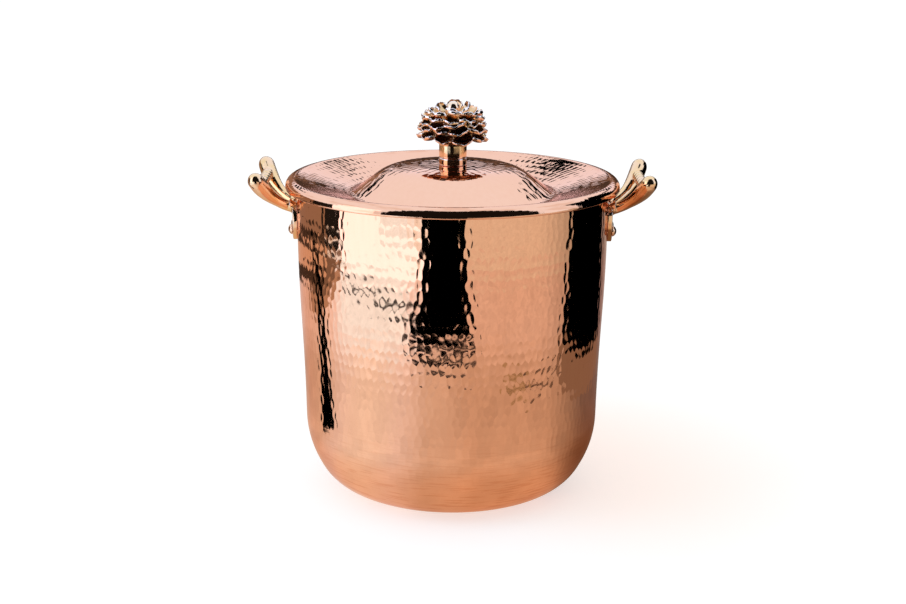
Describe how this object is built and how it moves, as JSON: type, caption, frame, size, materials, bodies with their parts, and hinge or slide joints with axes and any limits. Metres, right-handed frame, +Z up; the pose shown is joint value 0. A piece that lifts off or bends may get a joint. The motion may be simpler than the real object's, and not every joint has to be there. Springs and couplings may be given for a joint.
{
  "type": "stockpot",
  "caption": "Tall hammered copper stockpot with a tinned inside, a cast bronze grip on each side and a lift-off domed lid with a flower-head knob.",
  "frame": {"origin": "centre of the flat base, on the surface the pot stands on", "axes": "+Z up along the pot's axis, +X towards the right handle, -Y towards the front"},
  "size_m": [0.349, 0.2924, 0.351],
  "materials": {
    "hammered_copper": "hand hammered and polished",
    "tin_coat": "wiped tin, satin",
    "cast_bronze": "cast and polished, dark in the recesses",
    "rivet_copper": "hammered round heads",
    "screw_brass": "turned and polished"
  },
  "bodies": {
    "pot": {"pot_vessel": "hammered_copper", "pot_lining": "tin_coat", "right_handle": "cast_bronze", "left_handle": "cast_bronze", "right_rear_rivet": "rivet_copper", "right_front_rivet": "rivet_copper", "left_rear_rivet": "rivet_copper", "left_front_rivet": "rivet_copper"},
    "lid": {"lid_shell": "hammered_copper", "lid_lining": "tin_coat", "finial_collar": "cast_bronze", "finial_flower": "cast_bronze", "finial_washer": "screw_brass", "finial_screw": "screw_brass"}
  },
  "joints": [
    {"name": "lid_lift", "type": "slide", "parent": "pot", "child": "lid", "axis": [0, 0, 1], "range_m": [0, 0.12]}
  ]
}
